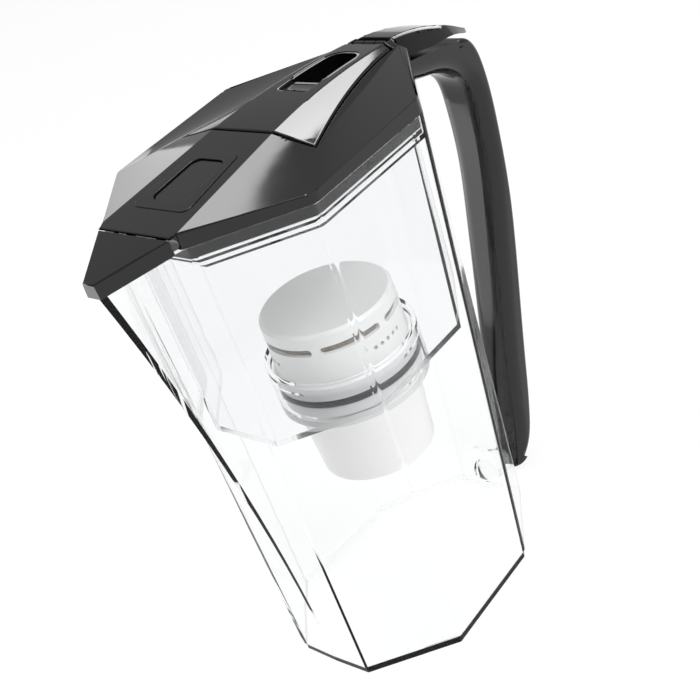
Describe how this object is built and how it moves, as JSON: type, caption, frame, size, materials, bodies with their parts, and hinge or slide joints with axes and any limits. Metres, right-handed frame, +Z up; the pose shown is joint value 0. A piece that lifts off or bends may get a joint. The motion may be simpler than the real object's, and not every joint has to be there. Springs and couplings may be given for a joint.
{
  "type": "water filter pitcher",
  "caption": "Faceted clear pitcher with a sharp spout, lift-out funnel, round filter cartridge, glossy black lid with fill hatch, spout flap and press indicator, and a looped black handle.",
  "frame": {"origin": "a point on the flat underside of the jug, on the mirror plane", "axes": "+Z up; the spout points to -X and the handle to +X; the part is mirror-symmetric in Y"},
  "size_m": [0.2455, 0.12, 0.2565],
  "materials": {
    "jug_clear": "clear gloss",
    "funnel_clear": "clear gloss",
    "cartridge_white": "satin",
    "ring_rubber": "satin",
    "screen_mesh": "fine mesh",
    "filter_media": "granular",
    "lid_black": "gloss",
    "bezel_black": "gloss",
    "button_black": "satin",
    "tray_black": "matte",
    "handle_black": "gloss",
    "pin_steel": "brushed"
  },
  "bodies": {
    "jug": {"jug_body": "jug_clear", "handle_grip": "handle_black", "handle_strip": "handle_black", "handle_cap": "handle_black", "handle_screws": "pin_steel"},
    "funnel": {"funnel": "funnel_clear"},
    "cartridge": {"cartridge_body": "cartridge_white", "cartridge_grid": "cartridge_white", "cartridge_ring": "ring_rubber", "cartridge_cap": "cartridge_white", "cartridge_screen": "screen_mesh", "cartridge_media": "filter_media"},
    "lid": {"lid_shell": "lid_black", "lid_nubs": "lid_black", "lid_tail": "lid_black", "hatch_pin": "pin_steel", "flap_pins": "pin_steel", "indicator_bezel": "bezel_black", "indicator_tray": "tray_black"},
    "hatch": {"hatch_panel": "lid_black", "thumb_cup": "lid_black"},
    "flap": {"spout_flap": "lid_black"},
    "button": {"indicator_button": "button_black"}
  },
  "joints": [
    {"name": "funnel_lift", "type": "slide", "parent": "jug", "child": "funnel", "axis": [0, 0, 1], "range_m": [0, 0.17]},
    {"name": "cartridge_lift", "type": "slide", "parent": "funnel", "child": "cartridge", "axis": [0, 0, 1], "range_m": [0, 0.055]},
    {"name": "lid_lift", "type": "slide", "parent": "funnel", "child": "lid", "axis": [0, 0, 1], "range_m": [0, 0.08]},
    {"name": "hatch_swing", "type": "hinge", "parent": "lid", "child": "hatch", "pos_m": [0.102, 0, 0.251], "axis": [0, 1, 0], "range_deg": [0, 80]},
    {"name": "flap_swing", "type": "hinge", "parent": "lid", "child": "flap", "pos_m": [-0.056, 0, 0.24351], "axis": [0, 1, 0], "range_deg": [0, 45]},
    {"name": "button_press", "type": "slide", "parent": "lid", "child": "button", "axis": [0.0986, 0, -0.9951], "range_m": [0, 0.0012], "stiffness_N_per_m": 400, "springref_m": -0.001}
  ]
}
